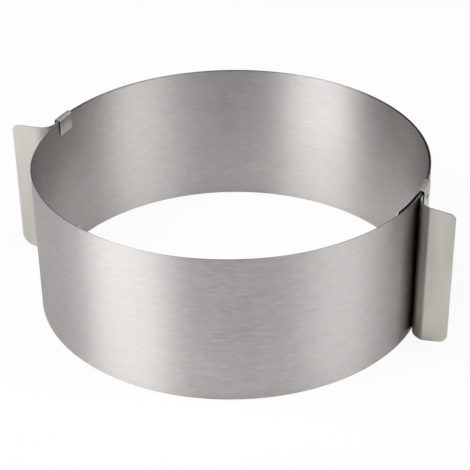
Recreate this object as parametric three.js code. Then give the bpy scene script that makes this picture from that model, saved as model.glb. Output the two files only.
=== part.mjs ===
// Adjustable cake ring of thin stainless steel strip.
//
// The strip is rolled up a little over one and a half times. Its outer end carries one handle and
// its inner end carries the other. At each handle a hooked clip closes over the upper edge of the
// strip and another under the lower edge, so that both turns of the strip stay beside each other
// while the inner turn slides round inside the outer one and the ring gets wider or narrower.
//
// Frame: millimetres, +Z up, origin on the ring's axis in the plane that the lower clips rest on.
// The two handles stand opposite each other along X, outer handle on the -X side.

import * as THREE from 'three';

// Strip
const RING_DIAMETER = 217;
const STRIP_HEIGHT = 85;
const STRIP_THICKNESS = 0.4;
const TURN_GAP = 0.6;
const STRIP_END_GAP = 0.4;
const TONGUE_LENGTH = 27;
const TONGUE_CORNER_RADIUS = 3;
const STRIP_STEP = 4;

// Handles
const HANDLE_THICKNESS = 0.6;
const HANDLE_SEAT_GAP = 0.3;
const HANDLE_UPPER_CLEARANCE = 1.6;
const HANDLE_LOWER_CLEARANCE = 0.7;
const HANDLE_TIP_TAPER = 4;
const INNER_HANDLE_RUN_OUT = 2.2;
const INNER_HANDLE_FLARE_RADIUS = 10;
const INNER_HANDLE_FLARE_TURN = THREE.MathUtils.degToRad(80);
const INNER_HANDLE_GRIP_LENGTH = 14.3;
const INNER_HANDLE_UPPER_CORNER = 3;
const INNER_HANDLE_LOWER_CORNER = 4.5;
const OUTER_HANDLE_RUN_OUT = 1;
const OUTER_HANDLE_FLARE_RADIUS = 8;
const OUTER_HANDLE_FLARE_TURN = THREE.MathUtils.degToRad(82);
const OUTER_HANDLE_UPPER_CORNER = 3.5;
const OUTER_HANDLE_LOWER_CORNER = 6.5;

// Clips
const CLIP_THICKNESS = 0.4;
const CLIP_LENGTH = 13;
const CLIP_LEG_LENGTH = 10;
const CLIP_BEND_RADIUS = 1.1;
const CLIP_SEAT_GAP = 0.2;
const CLIP_EDGE_GAP = 0.2;
const CLIP_OFFSET = 5.7;

// How finely the curves are cut into flats
const CORNER_STEPS = 5;
const FLARE_STEPS = 12;
const CLIP_STEPS = 6;
const BEND_STEPS = 4;

// Places worked out from the sizes above. Each radius is that of a face or a middle surface.
const outerTurnRadius = RING_DIAMETER / 2;
const outerTurnInside = outerTurnRadius - STRIP_THICKNESS / 2;
const outerTurnOutside = outerTurnRadius + STRIP_THICKNESS / 2;
const innerTurnRadius = outerTurnInside - TURN_GAP - STRIP_THICKNESS / 2;
const innerTurnInside = innerTurnRadius - STRIP_THICKNESS / 2;
const handleRadius = outerTurnOutside + HANDLE_SEAT_GAP + HANDLE_THICKNESS / 2;
const handleOutside = handleRadius + HANDLE_THICKNESS / 2;
const clipInside = innerTurnInside - CLIP_SEAT_GAP - CLIP_THICKNESS;
const clipOutside = handleOutside + CLIP_SEAT_GAP + CLIP_THICKNESS;

const stripBottom = CLIP_THICKNESS + CLIP_EDGE_GAP;
const stripTop = stripBottom + STRIP_HEIGHT;
const handleBottom = stripBottom + HANDLE_LOWER_CLEARANCE;
const handleTop = stripTop - HANDLE_UPPER_CLEARANCE;
const clipTop = stripTop + CLIP_EDGE_GAP + CLIP_THICKNESS;

// Angles on the inner handle's side, seen from above and counted from +X. The outer handle's side
// is the mirror image across the plane X = 0.
const clipMiddleAngle = CLIP_OFFSET / outerTurnRadius;
const clipHalfAngle = CLIP_LENGTH / 2 / outerTurnRadius;
const clipBackAngle = clipMiddleAngle + clipHalfAngle;
const clipFrontAngle = clipMiddleAngle - clipHalfAngle;
const stripStartAngle = Math.PI - clipFrontAngle;

// A closed body from rings of points. Each ring has the same number of points, which run
// counter-clockwise for someone ahead who looks back along the body. The two end rings are closed
// with flat caps, given as triangles that turn the same way.
function loftedBody(rings, capTriangles) {
  const count = rings[0].length;
  const positions = rings.flat().flatMap((point) => [point.x, point.y, point.z]);
  const indices = [];
  for (let ring = 0; ring + 1 < rings.length; ring += 1) {
    for (let side = 0; side < count; side += 1) {
      const next = (side + 1) % count;
      const a = ring * count + side;
      const b = ring * count + next;
      const c = a + count;
      const d = b + count;
      indices.push(a, b, d, a, d, c);
    }
  }
  const lastRing = (rings.length - 1) * count;
  for (const [i, j, k] of capTriangles) {
    indices.push(i, k, j);
    indices.push(lastRing + i, lastRing + j, lastRing + k);
  }
  const geometry = new THREE.BufferGeometry();
  geometry.setAttribute('position', new THREE.Float32BufferAttribute(positions, 3));
  geometry.setIndex(indices);
  geometry.computeVertexNormals();
  return geometry;
}

// A mirror image across the plane X = 0, with its faces still pointing outwards.
function mirrored(geometry) {
  const copy = geometry.clone();
  copy.scale(-1, 1, 1);
  const index = copy.index.array;
  for (let corner = 0; corner < index.length; corner += 3) {
    const kept = index[corner + 1];
    index[corner + 1] = index[corner + 2];
    index[corner + 2] = kept;
  }
  copy.computeVertexNormals();
  return copy;
}

// A station on the ring: a place in plan, and the side that faces away from the axis.
function ringStation(radius, angle) {
  const outward = new THREE.Vector2(Math.cos(angle), Math.sin(angle));
  return { place: outward.clone().multiplyScalar(radius), outward };
}

// A clockwise walk round the ring in even steps.
function ringStations(radius, startAngle, endAngle, steps) {
  const stations = [];
  for (let step = 0; step <= steps; step += 1) {
    stations.push(ringStation(radius, THREE.MathUtils.lerp(startAngle, endAngle, step / steps)));
  }
  return stations;
}

// Sheet metal stood on edge: every station gives one upright section of the sheet, and the
// sheet's lower and upper edge can change from station to station.
function standingSheet(stations, thickness) {
  const rings = stations.map(({ place, outward, low, high }) => {
    const inner = place.clone().addScaledVector(outward, -thickness / 2);
    const outer = place.clone().addScaledVector(outward, thickness / 2);
    return [
      new THREE.Vector3(inner.x, inner.y, low),
      new THREE.Vector3(outer.x, outer.y, low),
      new THREE.Vector3(outer.x, outer.y, high),
      new THREE.Vector3(inner.x, inner.y, high),
    ];
  });
  return loftedBody(rings, [[0, 1, 2], [0, 2, 3]]);
}

// How far a rounded corner has drawn an edge in, at a distance from the end of the sheet.
function cornerInset(distance, radius) {
  if (distance >= radius) {
    return 0;
  }
  return radius - Math.sqrt(radius * radius - (radius - distance) ** 2);
}

// Distances from a rounded end at which the sheet needs a section, closest to the end first.
function cornerDistances(radius) {
  const distances = [];
  for (let step = 0; step < CORNER_STEPS; step += 1) {
    distances.push(radius * (1 - Math.cos((Math.PI / 2) * (step / CORNER_STEPS))));
  }
  return distances;
}

function stripSteps(arc) {
  return Math.ceil((arc * outerTurnRadius) / STRIP_STEP);
}

// The outer turn starts under the outer handle, goes clockwise once round and ends beside its
// own start, where the strip passes on to the inner turn.
function outerTurnGeometry() {
  const arc = Math.PI * 2 - STRIP_END_GAP / outerTurnRadius;
  const endAngle = stripStartAngle - arc;
  const stations = ringStations(outerTurnRadius, stripStartAngle, endAngle, stripSteps(arc));
  for (const station of stations) {
    station.low = stripBottom;
    station.high = stripTop;
  }
  return standingSheet(stations, STRIP_THICKNESS);
}

// The inner turn starts at the outer handle's clips, slides inside the outer turn, passes through
// the inner handle's clips and ends in a tongue with rounded corners.
function innerTurnGeometry() {
  const endAngle = clipFrontAngle - TONGUE_LENGTH / innerTurnRadius;
  const cornerAngle = TONGUE_CORNER_RADIUS / innerTurnRadius;
  const plainEnd = endAngle + cornerAngle;
  const steps = stripSteps(stripStartAngle - plainEnd);
  const stations = ringStations(innerTurnRadius, stripStartAngle, plainEnd, steps);
  for (const distance of cornerDistances(TONGUE_CORNER_RADIUS).reverse()) {
    const station = ringStation(innerTurnRadius, endAngle + distance / innerTurnRadius);
    stations.push({ ...station, inset: cornerInset(distance, TONGUE_CORNER_RADIUS) });
  }
  for (const station of stations) {
    const inset = station.inset ?? 0;
    station.low = stripBottom + inset;
    station.high = stripTop - inset;
  }
  return standingSheet(stations, STRIP_THICKNESS);
}

// A place further on, straight ahead of a station.
function straightOn({ place, outward }, distance) {
  return place.clone().addScaledVector(new THREE.Vector2(outward.y, -outward.x), distance);
}

// A handle lies on the strip along the clips, runs straight on past them and then flares away
// from the ring in a round bend.
function handleBend({ runOut, flareRadius, flareTurn }) {
  const stations = ringStations(handleRadius, clipBackAngle, clipFrontAngle, CLIP_STEPS);
  const seatEnd = stations.at(-1);
  const bendCentre = straightOn(seatEnd, runOut).addScaledVector(seatEnd.outward, flareRadius);
  for (let step = 0; step <= FLARE_STEPS; step += 1) {
    const turn = flareTurn * (step / FLARE_STEPS);
    const outward = seatEnd.outward.clone().rotateAround(new THREE.Vector2(), turn);
    stations.push({ place: bendCentre.clone().addScaledVector(outward, -flareRadius), outward });
  }
  return stations;
}

// How far from the plane X = 0 the outer face of the sheet lies at a place.
function reachAt(place, outward) {
  return place.x + outward.x * (HANDLE_THICKNESS / 2);
}

// The straight grip follows the bend. Its lower edge rises towards its tip, and the corners of the
// tip are rounded.
function handleGeometry(shape, gripLength) {
  const stations = handleBend(shape).map((station) => ({ ...station, rise: 0 }));
  const bendEnd = stations.at(-1);
  const largerCorner = Math.max(shape.upperCorner, shape.lowerCorner);
  for (const distance of [largerCorner, ...cornerDistances(largerCorner).reverse()]) {
    const along = gripLength - distance;
    stations.push({
      place: straightOn(bendEnd, along),
      outward: bendEnd.outward,
      rise: HANDLE_TIP_TAPER * (along / gripLength),
      upperInset: cornerInset(distance, shape.upperCorner),
      lowerInset: cornerInset(distance, shape.lowerCorner),
    });
  }
  for (const station of stations) {
    station.low = handleBottom + station.rise + (station.lowerInset ?? 0);
    station.high = handleTop - (station.upperInset ?? 0);
  }
  return standingSheet(stations, HANDLE_THICKNESS);
}

// The hooked section of an upper clip, in the plane of radius and height: out over the edge of
// the strip and down on both sides, with round bends. It runs round the outside of the hook first
// and comes back along its inside.
function clipSection() {
  const legEnd = clipTop - CLIP_THICKNESS - CLIP_LEG_LENGTH;
  const leftCentre = new THREE.Vector2(clipInside + CLIP_BEND_RADIUS, clipTop - CLIP_BEND_RADIUS);
  const rightCentre = new THREE.Vector2(clipOutside - CLIP_BEND_RADIUS, clipTop - CLIP_BEND_RADIUS);
  const bend = (centre, radius, fromQuarter, toQuarter) => {
    const points = [];
    for (let step = 0; step <= BEND_STEPS; step += 1) {
      const quarter = fromQuarter + (toQuarter - fromQuarter) * (step / BEND_STEPS);
      const direction = new THREE.Vector2(Math.cos(quarter), Math.sin(quarter));
      points.push(centre.clone().addScaledVector(direction, radius));
    }
    return points;
  };
  const insideRadius = CLIP_BEND_RADIUS - CLIP_THICKNESS;
  return [
    new THREE.Vector2(clipOutside, legEnd),
    ...bend(rightCentre, CLIP_BEND_RADIUS, 0, Math.PI / 2),
    ...bend(leftCentre, CLIP_BEND_RADIUS, Math.PI / 2, Math.PI),
    new THREE.Vector2(clipInside, legEnd),
    new THREE.Vector2(clipInside + CLIP_THICKNESS, legEnd),
    ...bend(leftCentre, insideRadius, Math.PI, Math.PI / 2),
    ...bend(rightCentre, insideRadius, Math.PI / 2, 0),
    new THREE.Vector2(clipOutside - CLIP_THICKNESS, legEnd),
  ];
}

// The section is carried round the ring's axis over the length of the clip. The lower clip is the
// same section turned over.
function clipGeometry(isUpper) {
  const upperSection = clipSection();
  const section = isUpper
    ? upperSection
    : upperSection.map(({ x, y }) => new THREE.Vector2(x, clipTop - y)).reverse();
  const rings = [];
  for (let step = 0; step <= CLIP_STEPS; step += 1) {
    const angle = THREE.MathUtils.lerp(clipBackAngle, clipFrontAngle, step / CLIP_STEPS);
    rings.push(section.map(({ x, y }) => (
      new THREE.Vector3(x * Math.cos(angle), x * Math.sin(angle), y)
    )));
  }
  const caps = THREE.ShapeUtils.triangulateShape(section, []);
  return loftedBody(rings, caps);
}

// Finishes: the strip is finely brushed, the handles are plain rolled sheet with a warmer tone,
// and the clips are bright where they are bent.
const stripSteel = new THREE.MeshStandardMaterial({
  color: 0xb4b1ae,
  roughness: 0.34,
  metalness: 1,
});
const handleSteel = new THREE.MeshStandardMaterial({
  color: 0xc9c6be,
  roughness: 0.42,
  metalness: 1,
});
const clipSteel = new THREE.MeshStandardMaterial({
  color: 0xbdbbb8,
  roughness: 0.3,
  metalness: 1,
});

function piece(name, geometry, material) {
  const mesh = new THREE.Mesh(geometry, material);
  mesh.name = name;
  return mesh;
}

// The two handles aren't quite alike, but both reach equally far from the axis.
const innerHandleShape = {
  runOut: INNER_HANDLE_RUN_OUT,
  flareRadius: INNER_HANDLE_FLARE_RADIUS,
  flareTurn: INNER_HANDLE_FLARE_TURN,
  upperCorner: INNER_HANDLE_UPPER_CORNER,
  lowerCorner: INNER_HANDLE_LOWER_CORNER,
};
const outerHandleShape = {
  runOut: OUTER_HANDLE_RUN_OUT,
  flareRadius: OUTER_HANDLE_FLARE_RADIUS,
  flareTurn: OUTER_HANDLE_FLARE_TURN,
  upperCorner: OUTER_HANDLE_UPPER_CORNER,
  lowerCorner: OUTER_HANDLE_LOWER_CORNER,
};
const innerBendEnd = handleBend(innerHandleShape).at(-1);
const innerTip = straightOn(innerBendEnd, INNER_HANDLE_GRIP_LENGTH);
const handleReach = reachAt(innerTip, innerBendEnd.outward);
const outerBendEnd = handleBend(outerHandleShape).at(-1);
const outerBendReach = reachAt(outerBendEnd.place, outerBendEnd.outward);
const outerGripLength = (handleReach - outerBendReach) / outerBendEnd.outward.y;

// Everything that is fixed to the strip's outer end
const outerEnd = new THREE.Group();
outerEnd.add(piece('band_outer_turn', outerTurnGeometry(), stripSteel));
const outerHandle = handleGeometry(outerHandleShape, outerGripLength);
outerEnd.add(piece('outer_handle', mirrored(outerHandle), handleSteel));
outerEnd.add(piece('outer_upper_clip', mirrored(clipGeometry(true)), clipSteel));
outerEnd.add(piece('outer_lower_clip', mirrored(clipGeometry(false)), clipSteel));

// Everything that slides round with the strip's inner end
const innerEnd = new THREE.Group();
innerEnd.add(piece('band_inner_turn', innerTurnGeometry(), stripSteel));
const innerHandle = handleGeometry(innerHandleShape, INNER_HANDLE_GRIP_LENGTH);
innerEnd.add(piece('inner_handle', innerHandle, handleSteel));
innerEnd.add(piece('inner_upper_clip', clipGeometry(true), clipSteel));
innerEnd.add(piece('inner_lower_clip', clipGeometry(false), clipSteel));

const cakeRing = new THREE.Group();
cakeRing.add(outerEnd, innerEnd);

export default cakeRing;
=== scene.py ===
"""The looks of an adjustable cake ring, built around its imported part.

The ring is one long strip of brushed stainless steel, rolled up a little over one and a half
times. A bent handle and two hooked clips are fixed at each end of the strip, and the strip's
inner turn slides through them as the ring gets wider or narrower.

Lengths are in metres, in the part's own frame: +Z up, the ring's axis through the origin, the
outer handle on the -X side and the inner handle on the +X side.
"""

import logging
import math
from dataclasses import dataclass, field, replace
from enum import Enum
from typing import Callable, Optional, Sequence, Union

import bmesh
import bpy
from bmesh.types import BMesh, BMEdge
from mathutils import Matrix, Vector

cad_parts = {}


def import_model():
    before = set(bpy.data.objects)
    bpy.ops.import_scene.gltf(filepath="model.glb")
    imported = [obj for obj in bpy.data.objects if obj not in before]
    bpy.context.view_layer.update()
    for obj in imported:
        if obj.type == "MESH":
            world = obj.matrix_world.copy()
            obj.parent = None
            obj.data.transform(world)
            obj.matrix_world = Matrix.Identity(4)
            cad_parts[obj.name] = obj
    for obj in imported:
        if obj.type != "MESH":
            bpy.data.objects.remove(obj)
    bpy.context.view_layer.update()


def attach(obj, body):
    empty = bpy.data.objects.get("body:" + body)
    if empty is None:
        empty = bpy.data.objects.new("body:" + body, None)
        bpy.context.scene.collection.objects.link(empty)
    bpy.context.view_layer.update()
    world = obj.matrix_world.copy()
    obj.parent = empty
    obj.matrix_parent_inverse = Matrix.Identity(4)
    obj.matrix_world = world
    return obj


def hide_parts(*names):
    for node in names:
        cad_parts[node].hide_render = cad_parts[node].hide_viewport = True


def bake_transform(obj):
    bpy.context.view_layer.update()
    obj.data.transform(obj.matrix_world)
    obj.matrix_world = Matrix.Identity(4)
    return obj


LOG = logging.getLogger("cake_ring")

MM = 0.001
MERGE_DISTANCE = 1e-7
LEAST_TURN = 1e-12
QUARTER_TURN = math.pi / 2
SHARP_ANGLE = math.radians(38)
RIM_ANGLE = math.radians(80)
# The handles' seats and the clips lie between these angles, counted from the X axis.
SEAT_BACK_ANGLE = math.radians(6.4425)
SEAT_FRONT_ANGLE = math.radians(-0.4225)
UPRIGHT = Vector((0.0, 0.0, 1.0))
WHITE = (1.0, 1.0, 1.0, 1.0)
# The attribute in which a mesh carries its painted shade and its darkened edges, from 0 to 1.
PAINTED_SHADE_AND_DARK_EDGES = "sheltered"
ROOM_IN_STEEL_SHARE = 0.1
SENSOR_WIDTH = 36.0
PHOTO_WIDTH = 470.0
# The Mix node's sockets for colours share their names with others, so they go by number.
MIX_SHARE, MIX_DARK, MIX_LIGHT, MIX_RESULT = 0, 6, 7, 2


# Shader maths


class Signal:
    """A number that varies over a surface: one output socket, with arithmetic."""

    def __init__(self, graph: "FinishGraph", socket: bpy.types.NodeSocket) -> None:
        """Wraps a socket.

        Args:
            graph: The material that the socket belongs to.
            socket: The output socket that carries the number.
        """
        self.graph = graph
        self.socket = socket

    def _math(self, operation: str, first: "Value", second: "Value") -> "Signal":
        """Adds one Math node.

        Args:
            operation: Blender's name for the sum.
            first: The first number.
            second: The second number.

        Returns:
            The node's result.
        """
        node = self.graph.node(
            "ShaderNodeMath", {"operation": operation}, {0: first, 1: second}
        )
        return Signal(self.graph, node.outputs[0])

    def __add__(self, other: "Value") -> "Signal":
        """Returns self + other."""
        return self._math("ADD", self, other)

    __radd__ = __add__

    def __sub__(self, other: "Value") -> "Signal":
        """Returns self - other."""
        return self._math("SUBTRACT", self, other)

    def __rsub__(self, other: "Value") -> "Signal":
        """Returns other - self."""
        return self._math("SUBTRACT", other, self)

    def __mul__(self, other: "Value") -> "Signal":
        """Returns self * other."""
        return self._math("MULTIPLY", self, other)

    __rmul__ = __mul__

    def between(self, low: float, high: float) -> "Signal":
        """Makes a smooth step.

        Args:
            low: Where the step starts.
            high: Where it ends.

        Returns:
            0 up to low, 1 from high on, and a smooth passage between.
        """
        node = self.graph.node(
            "ShaderNodeMapRange",
            {"interpolation_type": "SMOOTHSTEP"},
            {"Value": self, "From Min": low, "From Max": high},
        )
        return Signal(self.graph, node.outputs["Result"])


Value = Union[Signal, float, int, Sequence[float], bpy.types.NodeSocket]


class FinishGraph:
    """The node tree of one material or world, from its texture coordinates to its shader."""

    def __init__(self, owner: Union[bpy.types.Material, bpy.types.World]) -> None:
        """Starts from the few nodes that Blender gives a new material or world.

        Args:
            owner: The material or world that the nodes belong to.
        """
        owner.use_nodes = True
        self.tree = owner.node_tree
        self.shader = self.tree.nodes.get("Principled BSDF")

    def node(
        self,
        node_type: str,
        settings: Optional[dict[str, object]] = None,
        inputs: Optional[dict[Union[str, int], Value]] = None,
    ) -> bpy.types.Node:
        """Adds a node, sets what it is and then fills its sockets.

        Args:
            node_type: Blender's name for the node's type.
            settings: The node's own properties.
            inputs: A value or a link for each socket, by the socket's name or number.

        Returns:
            The new node.
        """
        node = self.tree.nodes.new(node_type)
        for key, value in (settings or {}).items():
            setattr(node, key, value)
        for key, value in (inputs or {}).items():
            self.feed(node.inputs[key], value)
        return node

    def feed(self, socket: bpy.types.NodeSocket, value: Value) -> None:
        """Links something into a socket, or sets the socket's value.

        Args:
            socket: The input socket.
            value: A signal or an output socket to link, or a plain value to set.
        """
        if isinstance(value, Signal):
            self.tree.links.new(value.socket, socket)
        elif isinstance(value, bpy.types.NodeSocket):
            self.tree.links.new(value, socket)
        else:
            socket.default_value = value

    def own_coordinates(self) -> bpy.types.NodeSocket:
        """Returns the object's own coordinates, in metres."""
        return self.node("ShaderNodeTexCoord").outputs["Object"]

    def stretched(self, scale: Sequence[float]) -> bpy.types.NodeSocket:
        """Stretches the object's own coordinates along each axis.

        Args:
            scale: Pattern cells per metre along X, Y and Z.

        Returns:
            The stretched coordinates.
        """
        mapping = self.node(
            "ShaderNodeMapping",
            {"vector_type": "POINT"},
            {"Vector": self.own_coordinates(), "Scale": scale},
        )
        return mapping.outputs["Vector"]

    def height(self) -> Signal:
        """Returns the height above the object's origin, in metres."""
        parts = self.node("ShaderNodeSeparateXYZ", None, {0: self.own_coordinates()})
        return Signal(self, parts.outputs["Z"])

    def painted(self, name: str) -> Signal:
        """Returns the value that the mesh carries at each point in an attribute."""
        node = self.node("ShaderNodeAttribute", {"attribute_name": name})
        return Signal(self, node.outputs["Fac"])

    def noise(self, scale: Sequence[float], detail: float = 2.0, roughness: float = 0.5) -> Signal:
        """Makes a noise from 0 to 1 whose cells are stretched along each axis.

        Args:
            scale: Cells per metre along X, Y and Z.
            detail: How many finer layers are laid over the first.
            roughness: How strong the finer layers are.

        Returns:
            The noise as a signal.
        """
        node = self.node(
            "ShaderNodeTexNoise",
            {"noise_dimensions": "3D"},
            {
                "Vector": self.stretched(scale),
                "Scale": 1.0,
                "Detail": detail,
                "Roughness": roughness,
            },
        )
        return Signal(self, node.outputs[0])

    def tinted(
        self, amount: Signal, dark: Sequence[float], light: Sequence[float]
    ) -> bpy.types.NodeSocket:
        """Makes a colour that runs from dark to light with a signal.

        Args:
            amount: The signal: 0 for dark, 1 for light.
            dark: The dark colour.
            light: The light colour.

        Returns:
            The mixed colour.
        """
        node = self.node(
            "ShaderNodeMix",
            {"data_type": "RGBA", "blend_type": "MIX", "clamp_factor": False},
            {MIX_SHARE: amount, MIX_DARK: (*dark, 1.0), MIX_LIGHT: (*light, 1.0)},
        )
        return node.outputs[MIX_RESULT]

    def relief(self, height: Signal) -> bpy.types.NodeSocket:
        """Makes a normal that follows a height.

        Args:
            height: The height, in metres.

        Returns:
            The bump node's normal.
        """
        node = self.node(
            "ShaderNodeBump", None, {"Height": height, "Distance": 1.0, "Strength": 1.0}
        )
        return node.outputs["Normal"]


def room_seen(graph: FinishGraph) -> Signal:
    """Says how much of the white room a ray sees: all for the camera and through glass.

    Steel sees a share of it, because at full strength it would lose its dark tones.

    Args:
        graph: The nodes of the material or the world that shows the room.

    Returns:
        The strength of the room's white, from 0 to 1.
    """
    path = graph.node("ShaderNodeLightPath").outputs
    seen = Signal(graph, path["Is Camera Ray"]) + Signal(graph, path["Is Transmission Ray"])
    return seen + Signal(graph, path["Is Glossy Ray"]) * ROOM_IN_STEEL_SHARE


# Finishes


class Grain(Enum):
    """The direction of the brush lines, as pattern cells per metre along X, Y and Z."""

    AROUND = (200.0, 200.0, 1150.0)
    UPRIGHT = (2600.0, 2600.0, 60.0)


@dataclass(frozen=True)
class Finish:
    """The finish of a surface, which gets a material of the same name."""

    name: str
    tint: tuple[float, float, float]
    roughness: float

    def shades(self, darker: float, lighter: float) -> tuple[list[float], list[float]]:
        """Works out a dark and a light shade of the tint.

        Args:
            darker: The factor for the dark shade.
            lighter: The factor for the light shade. No channel passes 1.

        Returns:
            The dark shade and the light shade.
        """
        dark = [channel * darker for channel in self.tint]
        return dark, [min(1.0, channel * lighter) for channel in self.tint]

    def material(self) -> bpy.types.Material:
        """Makes the finish's material.

        Returns:
            The material.
        """
        material = bpy.data.materials.new(self.name)
        self.dress(FinishGraph(material))
        return material

    def dress(self, graph: FinishGraph) -> None:
        """Adds the finish's nodes to its new material. Each kind of finish has its own."""
        raise NotImplementedError


@dataclass(frozen=True)
class PaintedShadeBand:
    """A band of painted shade on a finish, by height: where it lies, and how much darker.

    The painted shade is full at heights up to start and fades out towards end, in step with
    the height's square. A depth below zero stands for painted light, a paler tone.
    """

    start: float
    end: float
    depth: float


@dataclass(frozen=True)
class BrushedSteel(Finish):
    """Stainless steel with fine brush lines, which smear a reflection across themselves.

    The shade is made of fine lines, of broader ones (the streak's share) and of faint clouds.
    The steel is rougher by the swing where it is dark, and smoother by it where it is light.
    """

    contrast: float
    grain: Grain
    roughness_swing: float
    smear: float
    smear_turn: float
    line_depth: float
    waves: tuple[float, float, float] = (14.0, 14.0, 11.0)
    wave_depth: float = 0.0
    cloud_scale: float = 26.0
    streak: float = 0.25
    # Painted light and shade: bands by height, and the depth of the mesh's painted darkening.
    tones: tuple[PaintedShadeBand, ...] = ()
    shelter: float = 0.0
    lines_share: float = 0.85
    clouds_share: float = 0.15
    broad_cells: float = 0.36
    fine_range: tuple[float, float] = (0.3, 0.7)
    broad_range: tuple[float, float] = (0.25, 0.75)
    fine_layer_strength: float = 0.62

    def dress(self, graph: FinishGraph) -> None:
        """Adds the nodes of the brush lines, the waves and the painted light and shade.

        Args:
            graph: The nodes of the material.
        """
        shader = graph.shader.inputs
        grain = self.grain.value
        fine = graph.noise(grain, detail=3.0, roughness=self.fine_layer_strength)
        broad = graph.noise([cells * self.broad_cells for cells in grain], detail=2.0)
        clouds = graph.noise([self.cloud_scale] * 3, detail=2.0)
        lines = fine.between(*self.fine_range) * (self.lines_share - self.streak)
        lines = lines + broad.between(*self.broad_range) * self.streak
        shade = lines + clouds.between(*self.broad_range) * self.clouds_share
        dark, light = self.shades(1.0 - self.contrast, 1.0 + self.contrast)
        shader["Metallic"].default_value = 1.0
        shader["Anisotropic"].default_value = self.smear
        shader["Anisotropic Rotation"].default_value = self.smear_turn
        with_painted_shade = self.with_painted_shade(graph, shade)
        graph.feed(shader["Base Color"], graph.tinted(with_painted_shade, dark, light))
        swing = (shade - 0.5) * (-2.0 * self.roughness_swing)
        graph.feed(shader["Roughness"], swing + self.roughness)
        waves = graph.noise(self.waves, detail=1.0)
        height = lines * self.line_depth + waves * self.wave_depth
        graph.feed(shader["Normal"], graph.relief(height))

    def with_painted_shade(self, graph: FinishGraph, shade: Signal) -> Signal:
        """Adds the painted shade and light: the bands by height, and the mesh's painted darkening.

        Args:
            graph: The nodes of the material that the shade belongs to.
            shade: The shade from 0 to 1. Below 0 stands for a darker tone than the dark one.

        Returns:
            The shade with the painted shade and light.
        """
        for tone in self.tones:
            height = graph.height()
            beyond = (height * height).between(tone.start**2, tone.end**2)
            shade = shade + (beyond - 1.0) * tone.depth
        if self.shelter:
            shade = shade - graph.painted(PAINTED_SHADE_AND_DARK_EDGES) * self.shelter
        return shade


@dataclass(frozen=True)
class WeldSteel(Finish):
    """The darkened steel of a spot weld, scorched in patches and gritty."""

    roughness_swing: float = 0.2
    scorch_scale: float = 900.0
    scorch_range: tuple[float, float] = (0.3, 0.7)
    darker: float = 0.6
    lighter: float = 1.5
    grit_scale: float = 4200.0
    grit_depth: float = 0.000016

    def dress(self, graph: FinishGraph) -> None:
        """Adds the nodes of the scorched patches and the grit.

        Args:
            graph: The nodes of the material.
        """
        shader = graph.shader.inputs
        scorch = graph.noise([self.scorch_scale] * 3, detail=3.0)
        grit = graph.noise([self.grit_scale] * 3, detail=2.0)
        patches = scorch.between(*self.scorch_range)
        dark, light = self.shades(self.darker, self.lighter)
        smoothest = self.roughness - self.roughness_swing / 2
        shader["Metallic"].default_value = 1.0
        graph.feed(shader["Base Color"], graph.tinted(patches, dark, light))
        graph.feed(shader["Roughness"], grit * self.roughness_swing + smoothest)
        graph.feed(shader["Normal"], graph.relief(grit * self.grit_depth))


@dataclass(frozen=True)
class PaleFloor(Finish):
    """A matt pale floor. The camera sees it nearly white, with its shadow kept."""

    glow: float
    gloss: float = 0.1
    mottle_scale: float = 3.0
    darker: float = 0.985

    def dress(self, graph: FinishGraph) -> None:
        """Adds the nodes of the faint mottle and of the glow that the camera sees.

        Args:
            graph: The nodes of the material.
        """
        shader = graph.shader.inputs
        mottle = graph.noise([self.mottle_scale] * 3, detail=2.0)
        dark, light = self.shades(self.darker, 1.0)
        graph.feed(shader["Base Color"], graph.tinted(mottle, dark, light))
        shader["Roughness"].default_value = self.roughness
        shader["Specular IOR Level"].default_value = self.gloss
        white = graph.node("ShaderNodeEmission", None, {"Color": WHITE, "Strength": 1.0})
        mixed = graph.node(
            "ShaderNodeMixShader",
            None,
            {
                0: room_seen(graph) * self.glow,
                1: graph.shader.outputs["BSDF"],
                2: white.outputs["Emission"],
            },
        )
        output = graph.tree.nodes["Material Output"]
        graph.feed(output.inputs["Surface"], mixed.outputs["Shader"])


STRIP_FINISH = BrushedSteel(
    name="brushed_strip_steel",
    tint=(0.63, 0.606, 0.595),
    contrast=0.07,
    grain=Grain.AROUND,
    roughness=0.43,
    roughness_swing=0.04,
    smear=0.93,
    smear_turn=0.25,
    line_depth=0.00008,
    wave_depth=0.0008,
    shelter=6.2,
)
OUTER_HANDLE_FINISH = BrushedSteel(
    name="outer_handle_steel",
    tint=(0.695, 0.671, 0.628),
    contrast=0.05,
    grain=Grain.UPRIGHT,
    roughness=0.37,
    roughness_swing=0.04,
    smear=0.3,
    smear_turn=0.0,
    line_depth=0.000002,
    cloud_scale=90.0,
    shelter=8.5,
)
# A lighter copy of the outer handle's steel, painted paler towards the bottom: painted light.
INNER_HANDLE_FINISH = replace(
    OUTER_HANDLE_FINISH,
    name="inner_handle_steel",
    tint=(0.745, 0.719, 0.669),
    tones=(PaintedShadeBand(0.0, 0.06, -2.0),),
    shelter=8.2,
)
# Painted highlight and shade: the light bends of the upper clips, darker flaps just below them.
CLIP_FINISH = BrushedSteel(
    name="bent_clip_steel",
    tint=(0.94, 0.905, 0.88),
    contrast=0.06,
    grain=Grain.AROUND,
    roughness=0.44,
    roughness_swing=0.04,
    smear=0.0,
    smear_turn=0.25,
    line_depth=0.00001,
    tones=(PaintedShadeBand(0.0846, 0.0852, 4.2), PaintedShadeBand(0.0785, 0.0843, -2.4)),
    shelter=5.0,
)
WELD_FINISH = WeldSteel("spot_weld_steel", tint=(0.09, 0.082, 0.075), roughness=0.5)
FLOOR_FINISH = PaleFloor("pale_floor", tint=(0.75, 0.75, 0.75), roughness=0.9, glow=0.92)


# Sheet metal


class End(Enum):
    """The two ends of the strip, by the first word of their pieces' names."""

    OUTER = "outer"
    INNER = "inner"

    @property
    def body(self) -> str:
        """Returns the name of the body that this end's pieces move with."""
        return f"{self.value}_end"


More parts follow.
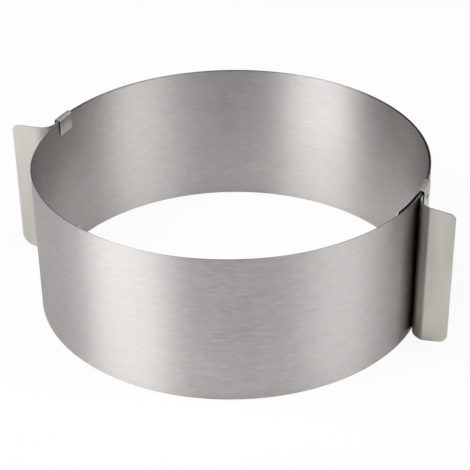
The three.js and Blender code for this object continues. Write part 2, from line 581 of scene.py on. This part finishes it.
class Edge(Enum):
    """The edge of the strip that a clip closes over."""

    UPPER = "upper"
    LOWER = "lower"


@dataclass(frozen=True)
class Stretch:
    """One stretch of a bent line: straight, or an arc that turns left or right.

    A turn above zero goes to the left, below zero to the right.
    """

    length: float
    turn: float = 0.0


@dataclass(frozen=True)
class BentLine:
    """A line in a plane, made of straight stretches and arcs that follow on smoothly."""

    start: Vector
    heading: float
    stretches: tuple[Stretch, ...]

    @property
    def length(self) -> float:
        """Returns the length of the whole line."""
        return sum(stretch.length for stretch in self.stretches)

    def at(self, distance: float) -> tuple[Vector, Vector]:
        """Finds a point on the line.

        Args:
            distance: How far along the line.

        Returns:
            The point, and the unit vector to the left of the line there.
        """
        place, heading, left = self.start.copy(), self.heading, distance
        for number, stretch in enumerate(self.stretches):
            is_last = number == len(self.stretches) - 1
            run = left if is_last else min(left, stretch.length)
            turned = stretch.turn * run / stretch.length
            if abs(turned) < LEAST_TURN:
                place += Vector((math.cos(heading), math.sin(heading))) * run
            else:
                radius = run / turned
                place += radius * Vector(
                    (
                        math.sin(heading + turned) - math.sin(heading),
                        math.cos(heading) - math.cos(heading + turned),
                    )
                )
            heading += turned
            left -= run
            if left <= 0.0:
                break
        return place, Vector((-math.sin(heading), math.cos(heading)))


@dataclass
class SheetBlank:
    """A flat blank of sheet metal before it is bent.

    Its length runs along X from 0, its thickness lies across Y = 0, and its width runs along Z.
    """

    length: float
    low: float
    high: float
    thickness: float
    rim_radius: float
    rim_flats: int = 2
    mesh: BMesh = field(default_factory=bmesh.new)

    def __post_init__(self) -> None:
        """Cuts the rectangle."""
        centre = Vector((self.length / 2, 0.0, (self.low + self.high) / 2))
        spread = Matrix.Diagonal((self.length, self.high - self.low, 1.0, 1.0))
        stand = Matrix.Rotation(QUARTER_TURN, 4, "X")
        bmesh.ops.create_grid(
            self.mesh,
            x_segments=1,
            y_segments=1,
            size=0.5,
            matrix=Matrix.Translation(centre) @ stand @ spread,
        )

    def round_corner(self, x: float, z: float, radius: float, flats: int) -> None:
        """Rounds the corner of the blank that lies nearest to a place.

        Args:
            x: The place along the length.
            z: The place across the width.
            radius: The corner's radius.
            flats: How many flats make the round.
        """
        place = Vector((x, 0.0, z))
        corner = min(self.mesh.verts, key=lambda vert: (vert.co - place).length)
        bmesh.ops.bevel(
            self.mesh,
            geom=[corner],
            offset=radius,
            segments=flats,
            profile=0.5,
            affect="VERTICES",
            material=-1,
        )

    def score(self, places: Sequence[float], normal: Vector) -> None:
        """Cuts across the blank at several places, so that it can bend there.

        Args:
            places: The distances from the origin along the normal.
            normal: The direction that the cuts are square to.
        """
        for place in places:
            bmesh.ops.bisect_plane(
                self.mesh,
                geom=[*self.mesh.verts, *self.mesh.edges, *self.mesh.faces],
                dist=MERGE_DISTANCE,
                plane_co=normal * place,
                plane_no=normal,
            )

    def score_across(self, places: Sequence[float]) -> None:
        """Cuts the blank at several distances along its length."""
        self.score(places, Vector((1.0, 0.0, 0.0)))

    def score_along(self, places: Sequence[float]) -> None:
        """Cuts the blank along its length, at several heights across its width."""
        self.score(places, UPRIGHT)

    def thicken(self, is_plain_rim: Callable[[BMEdge], bool]) -> None:
        """Gives the blank its thickness and breaks the sharp edge of its rim.

        Args:
            is_plain_rim: Says of a rim edge that it meets another piece and stays sharp.
        """
        bmesh.ops.solidify(self.mesh, geom=self.mesh.faces[:], thickness=self.thickness)
        middle = sum(vert.co.y for vert in self.mesh.verts) / len(self.mesh.verts)
        bmesh.ops.translate(self.mesh, vec=(0.0, -middle, 0.0), verts=self.mesh.verts[:])
        bmesh.ops.recalc_face_normals(self.mesh, faces=self.mesh.faces[:])
        rim = [
            edge
            for edge in self.mesh.edges
            if edge.calc_face_angle(0.0) > RIM_ANGLE
            and abs(edge.verts[0].co.y - edge.verts[1].co.y) < MERGE_DISTANCE
            and not is_plain_rim(edge)
        ]
        bmesh.ops.bevel(
            self.mesh,
            geom=rim,
            offset=self.rim_radius,
            segments=self.rim_flats,
            profile=0.5,
            affect="EDGES",
            clamp_overlap=True,
            material=-1,
        )

    def bend(self, place: Callable[[Vector], Vector]) -> None:
        """Moves every point of the flat blank to its place in the bent piece."""
        for vert in self.mesh.verts:
            vert.co = place(vert.co)


def steps(low: float, high: float, count: int) -> list[float]:
    """Returns the places between two ends that cut the way between them into equal parts."""
    return [low + (high - low) * number / count for number in range(1, count)]


def finished_piece(name: str, mesh: BMesh, material: bpy.types.Material) -> bpy.types.Object:
    """Makes an object at the origin from a finished bmesh.

    Args:
        name: The piece's name.
        mesh: The piece in its place, in the part's frame. It is freed.
        material: The piece's finish.

    Returns:
        The new object, smooth shaded with its sharp edges kept.
    """
    bmesh.ops.remove_doubles(mesh, verts=mesh.verts[:], dist=MERGE_DISTANCE)
    bmesh.ops.recalc_face_normals(mesh, faces=mesh.faces[:])
    for face in mesh.faces:
        face.smooth = True
    for edge in mesh.edges:
        edge.smooth = edge.calc_face_angle(0.0) < SHARP_ANGLE
    data = bpy.data.meshes.new(name)
    mesh.to_mesh(data)
    mesh.free()
    data.materials.append(material)
    piece = bpy.data.objects.new(name, data)
    bpy.context.scene.collection.objects.link(piece)
    return piece


def fixed_piece(
    end: End, name: str, mesh: BMesh, finish: Finish
) -> bpy.types.Object:
    """Finishes a piece that is fixed at one end of the strip, and lets it move with that end.

    Args:
        end: The end. The outer one's pieces are mirror images, across the plane X = 0.
        name: The piece's name.
        mesh: The piece as it lies at the inner end. It is freed.
        finish: The piece's finish.

    Returns:
        The new object.
    """
    if end is End.OUTER:
        bmesh.ops.scale(mesh, vec=(-1.0, 1.0, 1.0), verts=mesh.verts[:])
        bmesh.ops.reverse_faces(mesh, faces=mesh.faces[:])
    piece = finished_piece(name, mesh, finish.material())
    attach(piece, end.body)
    return piece


# The rolled-up strip


@dataclass(frozen=True)
class CoilPart:
    """One part of the rolled-up strip, with the shares of the inner end's turn at its ends."""

    name: str
    node: str
    start: float
    end: float
    start_share: float
    end_share: float


@dataclass
class Strip:
    """The strip: one sheet of brushed steel, rolled up one and a half times.

    Places along the strip are angles that it has turned through since its outer end. The strip
    is made in parts, each with the shares of the inner end's turn at its ends. Each part
    laps a little over the next, so that no gap opens between them when the ring is adjusted.
    The dip's run is a share of the tongue's length, the edge's reach a share of the rim's
    radius, and the face's reach a share of the thickness.
    """

    outer_radius: float = 108.5 * MM
    inner_radius: float = 107.5 * MM
    thickness: float = 0.4 * MM
    low: float = 0.6 * MM
    high: float = 85.6 * MM
    rim_radius: float = 0.08 * MM
    rim_band: float = 0.5 * MM
    tongue_corner: float = 3.0 * MM
    tongue_corner_flats: int = 8
    tongue_wrap: float = math.radians(540.845)
    tongue_dip: float = 0.58 * MM
    tongue_dip_run: float = 0.16
    edge_darkening: float = 0.3
    edge_reach: float = 1.2
    face_reach: float = 0.45
    first_angle: float = math.radians(180.4225)
    follow_angle: float = math.radians(172.0)
    wrap: float = math.radians(555.2355)
    step: float = math.radians(1.0)
    lap: float = math.radians(0.2)
    drop_start: float = math.radians(325.0)
    drop_end: float = math.radians(352.0)
    swell: float = 0.85 * MM
    swell_start: float = math.radians(275.0)
    swell_peak: float = math.radians(327.0)
    first_share: float = 1 / 3
    second_share: float = 2 / 3

    def parts(self) -> tuple[CoilPart, ...]:
        """Divides the strip into its parts.

        Returns:
            The parts from the outer end to the tongue.
        """
        half, whole = math.pi, math.tau
        first, second = self.first_share, self.second_share
        return (
            CoilPart("strip_back_outer", "band_outer_turn", 0.0, half, 0.0, first),
            CoilPart("strip_front", "band_outer_turn", half, whole, first, second),
            CoilPart("strip_inner_turn", "band_inner_turn", whole, self.wrap, second, 1.0),
        )

    def radius(self, wrap: float) -> float:
        """Finds how far the middle of the strip's sheet lies from the ring's axis.

        Args:
            wrap: The angle turned through since the outer end.

        Returns:
            The radius.
        """
        drop = (self.outer_radius - self.inner_radius) * eased_between(
            self.drop_start, self.drop_end, wrap
        )
        swell = self.swell * (
            eased_between(self.swell_start, self.swell_peak, wrap)
            - eased_between(self.swell_peak, self.drop_end, wrap)
        )
        past_clip = max(0.0, wrap - self.tongue_wrap) / (self.wrap - self.tongue_wrap)
        dip = self.tongue_dip * eased(min(1.0, past_clip / self.tongue_dip_run))
        return self.outer_radius - drop + swell - dip

    def rolled(self, wrap: float, depth: float, height: float) -> Vector:
        """Finds the place of a point of the flat strip once it is rolled up.

        Args:
            wrap: The angle turned through since the outer end.
            depth: The distance outwards from the middle of the sheet.
            height: The height.

        Returns:
            The place in the part's frame.
        """
        angle = self.first_angle - wrap
        radius = self.radius(wrap) + depth
        return Vector((radius * math.cos(angle), radius * math.sin(angle), height))

    def blank(self, part: CoilPart) -> SheetBlank:
        """Cuts the flat blank of one part, scored where it bends.

        Args:
            part: The part of the strip.

        Returns:
            The blank with its thickness.
        """
        is_first, is_last = part.start == 0.0, part.end == self.wrap
        arc = part.end - part.start + (0.0 if is_last else self.lap)
        blank = SheetBlank(
            arc * self.outer_radius, self.low, self.high, self.thickness, self.rim_radius
        )
        if is_last:
            for height in (self.low, self.high):
                blank.round_corner(
                    blank.length, height, self.tongue_corner, self.tongue_corner_flats
                )
        count = math.ceil(arc / self.step)
        blank.score_across(steps(0.0, blank.length, count))
        blank.score_along([self.low + self.rim_band, self.high - self.rim_band])

        def meets_next(edge: BMEdge) -> bool:
            """Says whether a rim edge meets another part of the strip.

            Args:
                edge: The rim edge.

            Returns:
                True for an edge that stays sharp.
            """
            ends = [vert.co.x for vert in edge.verts]
            at_start = not is_first and max(ends) < MERGE_DISTANCE
            return at_start or (not is_last and min(ends) > blank.length - MERGE_DISTANCE)

        blank.thicken(meets_next)
        return blank

    def mark_sheltered(self, blank: SheetBlank, start: float) -> None:
        """Paints the sheared edges darker, and painted shade onto the tongue's outer face in the
        gap between the turns.

        Args:
            blank: The flat blank of one part.
            start: The angle at which the part starts.
        """
        layer = blank.mesh.verts.layers.float.new(PAINTED_SHADE_AND_DARK_EDGES)
        for vert in blank.mesh.verts:
            is_tongue = start + vert.co.x / self.outer_radius > self.tongue_wrap
            from_edge = min(vert.co.z - self.low, self.high - vert.co.z)
            if is_tongue and vert.co.y > self.face_reach * self.thickness:
                vert[layer] = 1.0
            elif from_edge < self.edge_reach * self.rim_radius:
                vert[layer] = self.edge_darkening

    def follow_ends(self, piece: bpy.types.Object, part: CoilPart) -> None:
        """Works out the part's span between the two ends' measures, which nothing uses, and bakes
        its place.

        Args:
            piece: The part's object.
            part: The part of the strip that it shows.
        """
        start = self.rolled(part.start, 0.0, 0.0).x
        end = self.rolled(part.end, 0.0, 0.0).x
        if part.start == 0.0:
            start = self.outer_radius * math.cos(self.follow_angle)
        if part.end == self.wrap:
            end = self.inner_radius * math.cos(self.first_angle - self.wrap)
        low, high = unsmoothed(part.start_share), unsmoothed(part.end_share)
        length = (end - start) / (high - low)
        line_start = start - low * length
        line_start + length
        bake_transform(piece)

    def build(self) -> list[bpy.types.Object]:
        """Builds and dresses the strip's parts.

        Returns:
            The parts' objects, from the outer end to the tongue.
        """
        material = STRIP_FINISH.material()
        pieces = []
        for part in self.parts():
            blank = self.blank(part)
            start = part.start
            self.mark_sheltered(blank, start)
            blank.bend(
                lambda point, start=start: self.rolled(
                    start + point.x / self.outer_radius, point.y, point.z
                )
            )
            piece = finished_piece(part.name, blank.mesh, material)
            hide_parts(part.node)
            self.follow_ends(piece, part)
            pieces.append(piece)
        return pieces


def eased(share: float) -> float:
    """Returns the smooth step from 0 to 1 at a place between 0 and 1."""
    return share * share * (3.0 - 2.0 * share)


def eased_between(low: float, high: float, value: float) -> float:
    """Returns the smooth step from 0 at low to 1 at high, with nothing beyond."""
    return eased(min(1.0, max(0.0, (value - low) / (high - low))))


def unsmoothed(share: float) -> float:
    """Returns the place from 0 to 1 at which a smooth step reaches a share."""
    return 0.5 - math.sin(math.asin(1.0 - 2.0 * share) / 3.0)


# The handles


@dataclass
class Handle:
    """A bent handle: it lies on the strip under the clips, flares away and ends in a grip.

    The shade is a row of places past the seat, each with how much painted shade the side
    towards the strip gets there. The edge's reach is a share of the rim's radius, and the
    face's reach a share of the thickness.
    """

    end: End
    finish: BrushedSteel
    run_out: float
    flare_radius: float
    flare_turn: float
    grip_length: float
    upper_corner: float
    lower_corner: float
    shade: tuple[tuple[float, float], ...]
    radius: float = 109.3 * MM
    back_angle: float = SEAT_BACK_ANGLE
    front_angle: float = SEAT_FRONT_ANGLE
    thickness: float = 0.6 * MM
    rim_radius: float = 0.14 * MM
    rim_band: float = 0.6 * MM
    low: float = 1.3 * MM
    high: float = 84.0 * MM
    tip_rise: float = 4.0 * MM
    edge_darkening: float = 0.35
    edge_reach: float = 0.2
    face_reach: float = 0.4
    corner_flats: int = 12
    seat_flats: int = 8
    flare_flats: int = 26

    @property
    def seat_length(self) -> float:
        """Returns the length of the part that lies on the strip."""
        return self.radius * (self.back_angle - self.front_angle)

    def line(self) -> BentLine:
        """Lays out the middle of the sheet as it is seen from above.

        Returns:
            The line from the seat to the tip.
        """
        start = Vector((math.cos(self.back_angle), math.sin(self.back_angle))) * self.radius
        return BentLine(
            start,
            self.back_angle - QUARTER_TURN,
            (
                Stretch(self.seat_length, self.front_angle - self.back_angle),
                Stretch(self.run_out),
                Stretch(self.flare_radius * self.flare_turn, self.flare_turn),
                Stretch(self.grip_length),
            ),
        )

    def raised(self, distance: float, height: float) -> float:
        """Finds a height of the flat blank as it is in the tapered handle.

        Args:
            distance: How far along the handle.
            height: The height on the blank, whose lower edge is level.

        Returns:
            The height in the finished handle.
        """
        along = 1.0 - (self.line().length - distance) / self.grip_length
        share = (self.high - height) / (self.high - self.low)
        return height + self.tip_rise * max(0.0, along) * share

    def shade_at(self, distance: float) -> float:
        """Finds how much painted shade the side towards the strip gets.

        Args:
            distance: How far along the handle.

        Returns:
            The painted shade, from 1 at the seat to 0 in the open.
        """
        past_seat = distance - self.seat_length
        (start, amount), *later = self.shade
        if past_seat <= start:
            return amount
        for end, next_amount in later:
            if past_seat <= end:
                share = (past_seat - start) / (end - start)
                return amount + (next_amount - amount) * share
            start, amount = end, next_amount
        return amount

    def mark_sheltered(self, blank: SheetBlank) -> None:
        """Paints shade onto the side towards the strip, dark where the two come close, and darkens
        the rim's edges.

        Args:
            blank: The flat blank of the handle.
        """
        layer = blank.mesh.verts.layers.float.new(PAINTED_SHADE_AND_DARK_EDGES)
        for vert in blank.mesh.verts:
            from_edge = min(vert.co.z - self.low, self.high - vert.co.z)
            if vert.co.y < -self.face_reach * self.thickness:
                vert[layer] = self.shade_at(vert.co.x)
            elif from_edge < self.edge_reach * self.rim_radius:
                vert[layer] = self.edge_darkening

    def build(self) -> bpy.types.Object:
        """Builds and dresses the handle.

        Returns:
            The handle's object.
        """
        line = self.line()
        blank = SheetBlank(line.length, self.low, self.high, self.thickness, self.rim_radius)
        blank.round_corner(line.length, self.high, self.upper_corner, self.corner_flats)
        blank.round_corner(line.length, self.low, self.lower_corner, self.corner_flats)
        flare_end = line.length - self.grip_length
        flare_start = self.seat_length + self.run_out
        blank.score_across(steps(0.0, self.seat_length, self.seat_flats))
        blank.score_across([self.seat_length, flare_start])
        blank.score_across(steps(flare_start, flare_end, self.flare_flats))
        blank.score_across([flare_end])
        blank.score_across([self.seat_length + place for place, _ in self.shade])
        blank.score_along([self.low + self.rim_band, self.high - self.rim_band])
        blank.thicken(lambda edge: False)
        self.mark_sheltered(blank)

        def bent(point: Vector) -> Vector:
            """Bends the handle at one point.

            Args:
                point: A point of the flat blank.

            Returns:
                Its place in the bent handle.
            """
            place, left = line.at(point.x)
            flat = place + left * point.y
            return Vector((flat.x, flat.y, self.raised(point.x, point.z)))

        blank.bend(bent)
        node = f"{self.end.value}_handle"
        piece = fixed_piece(self.end, f"{node}_sheet", blank.mesh, self.finish)
        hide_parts(node)
        return piece


OUTER_HANDLE = Handle(
    End.OUTER,
    OUTER_HANDLE_FINISH,
    run_out=1.0 * MM,
    flare_radius=8.0 * MM,
    flare_turn=math.radians(82.0),
    grip_length=15.59 * MM,
    upper_corner=3.5 * MM,
    lower_corner=6.5 * MM,
    # Painted shade on the side towards the strip, deepest in the crevice by the seat.
    shade=(
        (4.4 * MM, 1.0),
        (7.0 * MM, 0.36),
        (10.4 * MM, 0.36),
        (14.8 * MM, 0.0),
    ),
)
INNER_HANDLE = Handle(
    End.INNER,
    INNER_HANDLE_FINISH,
    run_out=2.2 * MM,
    flare_radius=10.0 * MM,
    flare_turn=math.radians(80.0),
    grip_length=14.3 * MM,
    upper_corner=3.0 * MM,
    lower_corner=4.5 * MM,
    # Painted shade on the side towards the strip, deepest in the crevice, and again at the tip.
    shade=(
        (3.9 * MM, 1.0),
        (10.4 * MM, 0.62),
        (14.9 * MM, 0.62),
        (16.2 * MM, 0.0),
        (30.4 * MM, 0.34),
    ),
)


# The hooked clips


@dataclass
class Clip:
    """A strip of sheet bent into a hook over both turns of the strip and the handle.

    The end's reach is a share of the rim's radius.
    """

    end: End
    edge: Edge
    inside: float = 106.7 * MM
    outside: float = 110.2 * MM
    top: float = 86.2 * MM
    leg: float = 10.0 * MM
    bend_radius: float = 1.1 * MM
    thickness: float = 0.4 * MM
    rim_radius: float = 0.08 * MM
    rim_band: float = 0.4 * MM
    end_reach: float = 0.3
    corner: float = 0.6 * MM
    corner_flats: int = 4
    back_angle: float = SEAT_BACK_ANGLE
    front_angle: float = SEAT_FRONT_ANGLE
    length_flats: int = 10
    bend_flats: int = 8

    def section(self) -> BentLine:
        """Lays out the middle of the hook's sheet in the plane of radius and height.

        Returns:
            The line from the inner leg's end to the outer leg's end.
        """
        middle_radius = self.bend_radius - self.thickness / 2
        leg = Stretch(self.leg - (self.bend_radius - self.thickness))
        bend = Stretch(middle_radius * QUARTER_TURN, -QUARTER_TURN)
        across = Stretch(self.outside - self.inside - 2 * self.bend_radius)
        start = Vector(
            (self.inside + self.thickness / 2, self.top - self.thickness - self.leg)
        )
        return BentLine(start, QUARTER_TURN, (leg, bend, across, bend, leg))

    def build(self) -> bpy.types.Object:
        """Builds and dresses the clip.

        Returns:
            The clip's object.
        """
        line = self.section()
        length = (self.back_angle - self.front_angle) * self.outside
        blank = SheetBlank(length, 0.0, line.length, self.thickness, self.rim_radius)
        for x in (0.0, length):
            for z in (0.0, line.length):
                blank.round_corner(x, z, self.corner, self.corner_flats)
        blank.score_across(steps(0.0, length, self.length_flats))
        leg, bend = line.stretches[0].length, line.stretches[1].length
        for low, high in ((leg, leg + bend), (line.length - leg - bend, line.length - leg)):
            blank.score_along([low, *steps(low, high, self.bend_flats), high])
        blank.score_along([self.rim_band, line.length - self.rim_band])
        blank.thicken(lambda edge: False)
        # Painted shade along the cut ends, for the dark gap line at the flap's front edge.
        layer = blank.mesh.verts.layers.float.new(PAINTED_SHADE_AND_DARK_EDGES)
        for vert in blank.mesh.verts:
            from_end = min(vert.co.x, length - vert.co.x)
            vert[layer] = float(from_end < self.end_reach * self.rim_radius)

        def bent(point: Vector) -> Vector:
            """Bends the clip at one point.

            Args:
                point: A point of the flat blank.

            Returns:
                Its place in the bent clip.
            """
            place, left = line.at(point.z)
            section = place + left * point.y
            angle = self.back_angle - point.x / self.outside
            height = section.y if self.edge is Edge.UPPER else self.top - section.y
            return Vector((section.x * math.cos(angle), section.x * math.sin(angle), height))

        blank.bend(bent)
        node = f"{self.end.value}_{self.edge.value}_clip"
        piece = fixed_piece(self.end, f"{node}_hook", blank.mesh, CLIP_FINISH)
        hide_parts(node)
        return piece


@dataclass
class SpotWeld:
    """The spot weld on a clip's outer leg: a shallow dimple in a raised ring."""

    clip: Clip
    radius: float = 1.7 * MM
    flats: int = 28
    ring_widths: tuple[float, ...] = (0.35 * MM, 0.35 * MM, 0.4 * MM)
    rise: float = 0.07 * MM
    below_top: float = 6.6 * MM
    stand_off: float = 0.005 * MM

    def build(self) -> bpy.types.Object:
        """Builds and dresses the weld.

        Returns:
            The weld's object.
        """
        clip = self.clip
        height = clip.top - self.below_top
        if clip.edge is Edge.LOWER:
            height = clip.top - height
        angle = (clip.back_angle + clip.front_angle) / 2
        out = Vector((math.cos(angle), math.sin(angle), 0.0))
        mesh = bmesh.new()
        bmesh.ops.create_circle(
            mesh, cap_ends=True, segments=self.flats, radius=self.radius, matrix=Matrix.Identity(4)
        )
        for width in self.ring_widths:
            inner = max(mesh.faces, key=lambda face: len(face.verts))
            bmesh.ops.inset_individual(mesh, faces=[inner], thickness=width)
        for vert in mesh.verts:
            reach = Vector((vert.co.x, vert.co.y)).length / self.radius
            vert.co.z = self.rise * math.sin(math.pi * min(1.0, reach) ** 2)
        turn = out.to_track_quat("Z", "Y").to_matrix().to_4x4()
        place = out * (clip.outside + self.stand_off) + UPRIGHT * height
        bmesh.ops.transform(
            mesh, matrix=Matrix.Translation(place) @ turn, verts=mesh.verts[:]
        )
        name = f"{clip.end.value}_{clip.edge.value}_spot_weld"
        return fixed_piece(clip.end, name, mesh, WELD_FINISH)


# The studio


@dataclass(frozen=True)
class SoftBox:
    """A large soft lamp on a stand that faces the ring.

    Its azimuth and elevation are in degrees. The azimuth counts from the photograph's own
    right-hand side.
    """

    name: str
    azimuth: float
    elevation: float
    width: float
    power: float
    height: float = 1.1
    distance: float = 1.6

    def build(self, target: Vector, photo_turn: float) -> bpy.types.Object:
        """Builds the lamp.

        Args:
            target: The point that it faces.
            photo_turn: The angle from the part's X axis to the photograph's right-hand side.

        Returns:
            The lamp's object.
        """
        lamp = bpy.data.lights.new(self.name, "AREA")
        lamp.shape = "RECTANGLE"
        lamp.size, lamp.size_y = self.width, self.height
        lamp.energy = self.power
        around = math.radians(self.azimuth + math.degrees(photo_turn))
        up = math.radians(self.elevation)
        out = Vector(
            (math.cos(around) * math.cos(up), math.sin(around) * math.cos(up), math.sin(up))
        )
        stand = bpy.data.objects.new(self.name, lamp)
        stand.location = target + out * self.distance
        stand.rotation_euler = (-out).to_track_quat("-Z", "Y").to_euler()
        bpy.context.scene.collection.objects.link(stand)
        return stand


@dataclass
class Studio:
    """The floor, the lamps, the world and the camera.

    The camera's pitch, yaw and roll are in radians, and its lens is in millimetres.
    """

    soft_boxes: tuple[SoftBox, ...] = (
        SoftBox("left_soft_box", azimuth=-148.0, elevation=28.0, width=1.2, power=15.6),
        SoftBox("right_soft_box", azimuth=-31.0, elevation=28.0, width=1.2, power=5.2),
        SoftBox("high_left_soft_box", azimuth=-180.0, elevation=62.0, width=0.6, power=13.5),
        SoftBox("high_right_soft_box", azimuth=-10.0, elevation=62.0, width=0.42, power=12.6),
    )
    lamp_target: Vector = field(default_factory=lambda: Vector((0.0, 0.0, 43.0 * MM)))
    photo_turn: float = math.radians(23.85)
    camera_distance: float = 705.58 * MM
    camera_height: float = 462.32 * MM
    pitch: float = 0.5461
    yaw: float = 0.0020
    roll: float = -0.0127
    lens: float = SENSOR_WIDTH * 1458.52 / PHOTO_WIDTH
    nearest: float = 0.01
    farthest: float = 50.0
    floor_half: float = 1.1
    floor_drop: float = 0.05 * MM
    floor_tiles: int = 4

    def build(self) -> None:
        """Builds the whole studio."""
        self.floor()
        self.lamps()
        self.world()
        self.camera()

    def floor(self) -> bpy.types.Object:
        """Lays the pale floor just under the ring.

        Returns:
            The floor's object.
        """
        mesh = bmesh.new()
        tiles = self.floor_tiles
        bmesh.ops.create_grid(mesh, x_segments=tiles, y_segments=tiles, size=self.floor_half)
        bmesh.ops.translate(mesh, vec=UPRIGHT * -self.floor_drop, verts=mesh.verts[:])
        floor = finished_piece("pale_floor", mesh, FLOOR_FINISH.material())
        return floor

    def lamps(self) -> None:
        """Sets up the lamps."""
        for box in self.soft_boxes:
            box.build(self.lamp_target, self.photo_turn)

    def world(self) -> None:
        """Makes the room white to look at, without any light of its own on matt surfaces."""
        world = bpy.data.worlds.new("studio_room")
        graph = FinishGraph(world)
        background = graph.tree.nodes["Background"].inputs
        background["Color"].default_value = WHITE
        graph.feed(background["Strength"], room_seen(graph))
        bpy.context.scene.world = world

    def camera(self) -> None:
        """Stands the camera where the photograph was taken from."""
        turn = Matrix.Rotation(self.photo_turn, 3, "Z")
        level, down = math.cos(self.pitch), math.sin(self.pitch)
        ahead = Vector((math.sin(self.yaw) * level, math.cos(self.yaw) * level, -down))
        right = Vector((math.cos(self.yaw), -math.sin(self.yaw), 0.0))
        over = right.cross(ahead)
        rolled_right = right * math.cos(self.roll) + over * math.sin(self.roll)
        rolled_over = over * math.cos(self.roll) - right * math.sin(self.roll)
        axes = Matrix((turn @ rolled_right, turn @ rolled_over, turn @ -ahead)).transposed()
        place = turn @ Vector((0.0, -self.camera_distance, self.camera_height))
        data = bpy.data.cameras.new("photo_camera")
        data.sensor_width = SENSOR_WIDTH
        data.lens = self.lens
        data.clip_start, data.clip_end = self.nearest, self.farthest
        camera = bpy.data.objects.new("photo_camera", data)
        camera.matrix_world = Matrix.Translation(place) @ axes.to_4x4()
        bpy.context.scene.collection.objects.link(camera)
        bpy.context.scene.camera = camera


# The whole object


def report(pieces: Sequence[bpy.types.Object]) -> None:
    """Reports finished pieces through the log."""
    for piece in pieces:
        LOG.info("%s: %d faces", piece.name, len(piece.data.polygons))


def main() -> None:
    """Dresses the ring piece by piece and builds the studio round it."""
    logging.basicConfig(level=logging.INFO, format="%(name)s %(message)s")
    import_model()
    bpy.context.scene.view_settings.view_transform = "Standard"
    report(Strip().build())
    report([OUTER_HANDLE.build(), INNER_HANDLE.build()])
    for end in End:
        for edge in Edge:
            clip = Clip(end, edge)
            report([clip.build(), SpotWeld(clip).build()])
    Studio().build()


if __name__ == "__main__":
    main()
